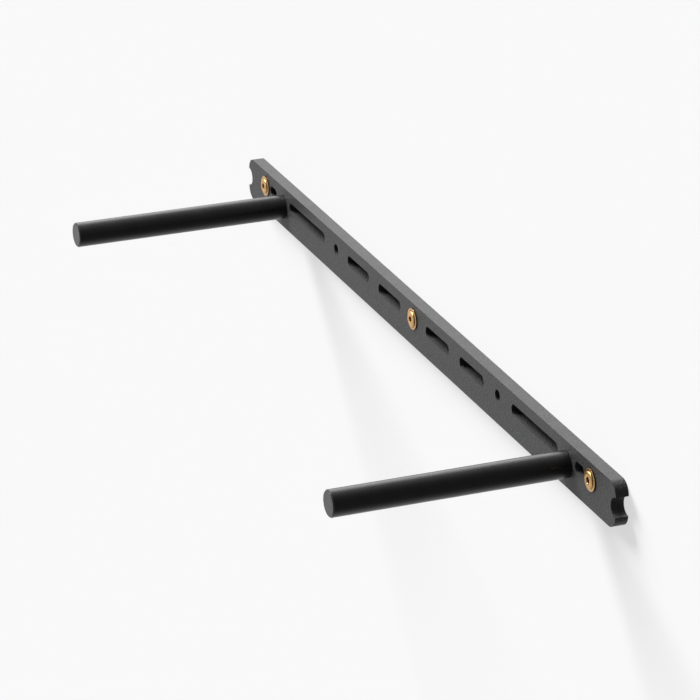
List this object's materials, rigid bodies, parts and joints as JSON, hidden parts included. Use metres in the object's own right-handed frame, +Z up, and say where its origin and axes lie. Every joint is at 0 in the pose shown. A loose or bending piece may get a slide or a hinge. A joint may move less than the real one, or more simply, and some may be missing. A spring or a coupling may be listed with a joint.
{
  "type": "wall-mounted pull up bar",
  "caption": "Flat steel wall rail with a row of slots, carrying round pegs that stand out of the wall to hang from.",
  "frame": {"origin": "centre of the rail's back face, on the wall", "axes": "+X along the rail to the right seen from the room, +Y into the wall, +Z up; the pegs point to -Y"},
  "size_m": [0.9144, 0.3048, 0.0444],
  "materials": {
    "rail_powder_coat": "matte fine-texture black powder coat",
    "peg_satin_black": "smooth satin black coat",
    "brass_plated": "polished, brass-coloured plating",
    "zinc_steel": "satin zinc-plated steel"
  },
  "bodies": {
    "root": {"wall_rail": "rail_powder_coat", "left_peg": "peg_satin_black", "right_peg": "peg_satin_black", "left_peg_screw": "zinc_steel", "right_peg_screw": "zinc_steel", "left_peg_pin": "zinc_steel", "right_peg_pin": "zinc_steel", "left_wall_screw": "brass_plated", "centre_wall_screw": "brass_plated", "right_wall_screw": "brass_plated"}
  },
  "joints": []
}
